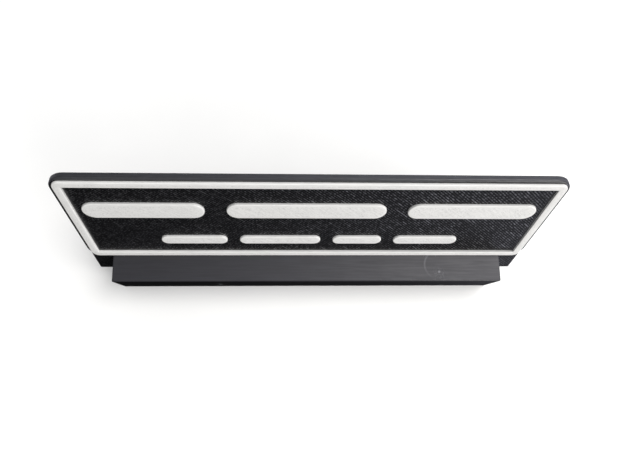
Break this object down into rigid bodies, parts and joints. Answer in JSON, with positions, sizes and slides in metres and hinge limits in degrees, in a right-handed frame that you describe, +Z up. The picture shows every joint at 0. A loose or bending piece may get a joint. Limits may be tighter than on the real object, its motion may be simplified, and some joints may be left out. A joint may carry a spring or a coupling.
{
  "type": "desk name plate",
  "caption": "Thin name plate with a raised white border and raised blank bars, standing by its tab in a leaning slot of a plain block base for a desk.",
  "frame": {"origin": "middle of the base's underside, which is also the bottom centre of the whole part's box", "axes": "+X along the plate to the viewer's right, +Y towards the plate's back, +Z up"},
  "size_m": [0.204, 0.04, 0.0753],
  "materials": {
    "base_black": "printed black plastic with fine layer lines, satin",
    "panel_black": "printed black plastic with fine diagonal lines on the face, satin",
    "relief_white": "printed white plastic, matte, with rounded edges"
  },
  "bodies": {
    "base": {"base": "base_black"},
    "plate": {"panel": "panel_black", "border": "relief_white", "name_bar_1": "relief_white", "name_bar_2": "relief_white", "name_bar_3": "relief_white", "title_bar_1": "relief_white", "title_bar_2": "relief_white", "title_bar_3": "relief_white", "title_bar_4": "relief_white"}
  },
  "joints": [
    {"name": "plate_lift", "type": "slide", "parent": "base", "child": "plate", "axis": [0, 0.342, 0.9397], "range_m": [0, 0.016]}
  ]
}
